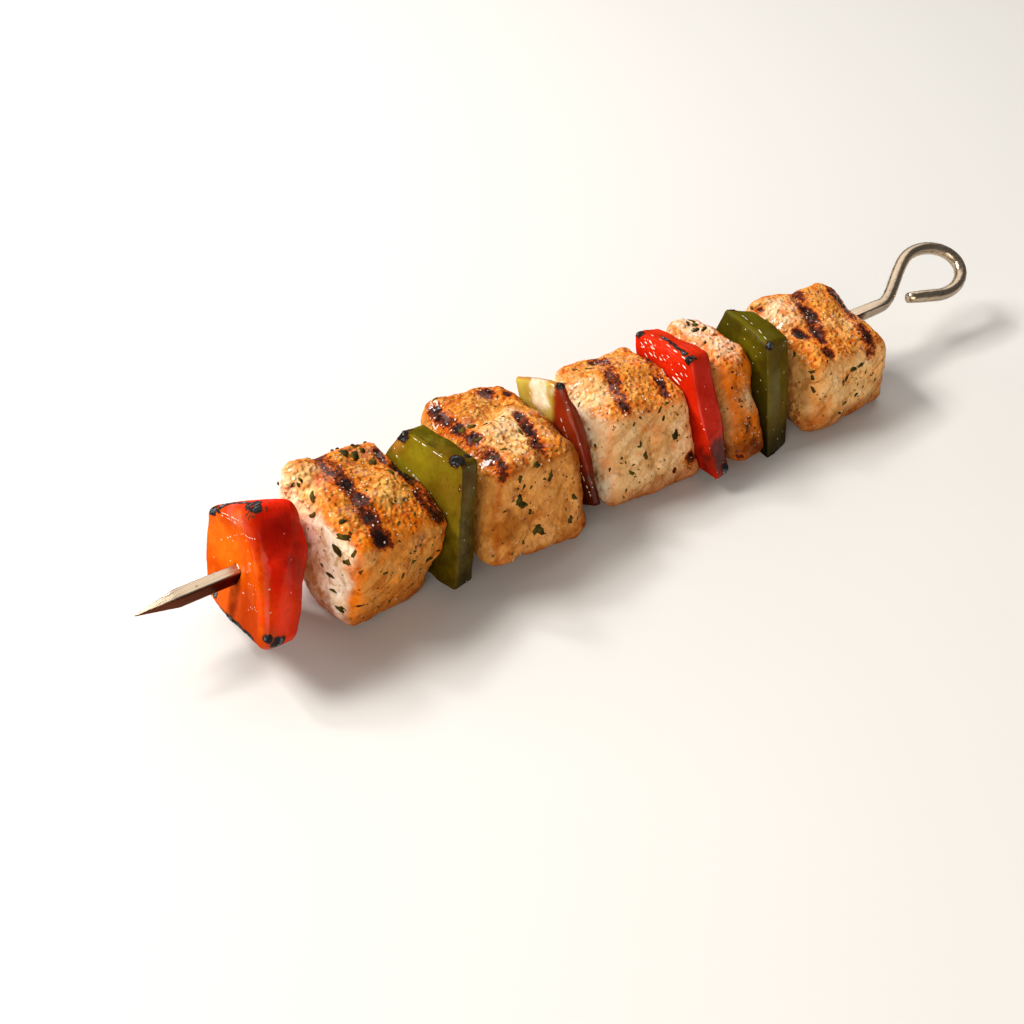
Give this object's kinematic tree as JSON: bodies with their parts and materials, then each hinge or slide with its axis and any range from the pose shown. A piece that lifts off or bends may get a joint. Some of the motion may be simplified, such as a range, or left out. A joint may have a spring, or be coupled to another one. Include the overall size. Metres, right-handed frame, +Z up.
{
  "type": "chicken kebab skewer",
  "caption": "Grilled chicken kebab with cubes of chicken breast and slices of red and green pepper on a pointed square steel skewer with a ring handle.",
  "frame": {"origin": "centre of the kebab's bounding box, on the plane it rests on", "axes": "+X along the skewer from its point to its ring handle, +Z up as it rests, +Y to the far side"},
  "size_m": [0.26, 0.0452, 0.037],
  "materials": {
    "steel": "satin",
    "chicken": "satin",
    "red_pepper": "gloss",
    "green_pepper": "gloss",
    "mixed_pepper": "gloss"
  },
  "bodies": {
    "root": {"skewer": "steel", "red_pepper_1": "red_pepper", "chicken_1": "chicken", "green_pepper_1": "green_pepper", "chicken_2": "chicken", "mixed_pepper": "mixed_pepper", "chicken_3": "chicken", "red_pepper_2": "red_pepper", "chicken_4": "chicken", "green_pepper_2": "green_pepper", "chicken_5": "chicken"}
  },
  "joints": []
}
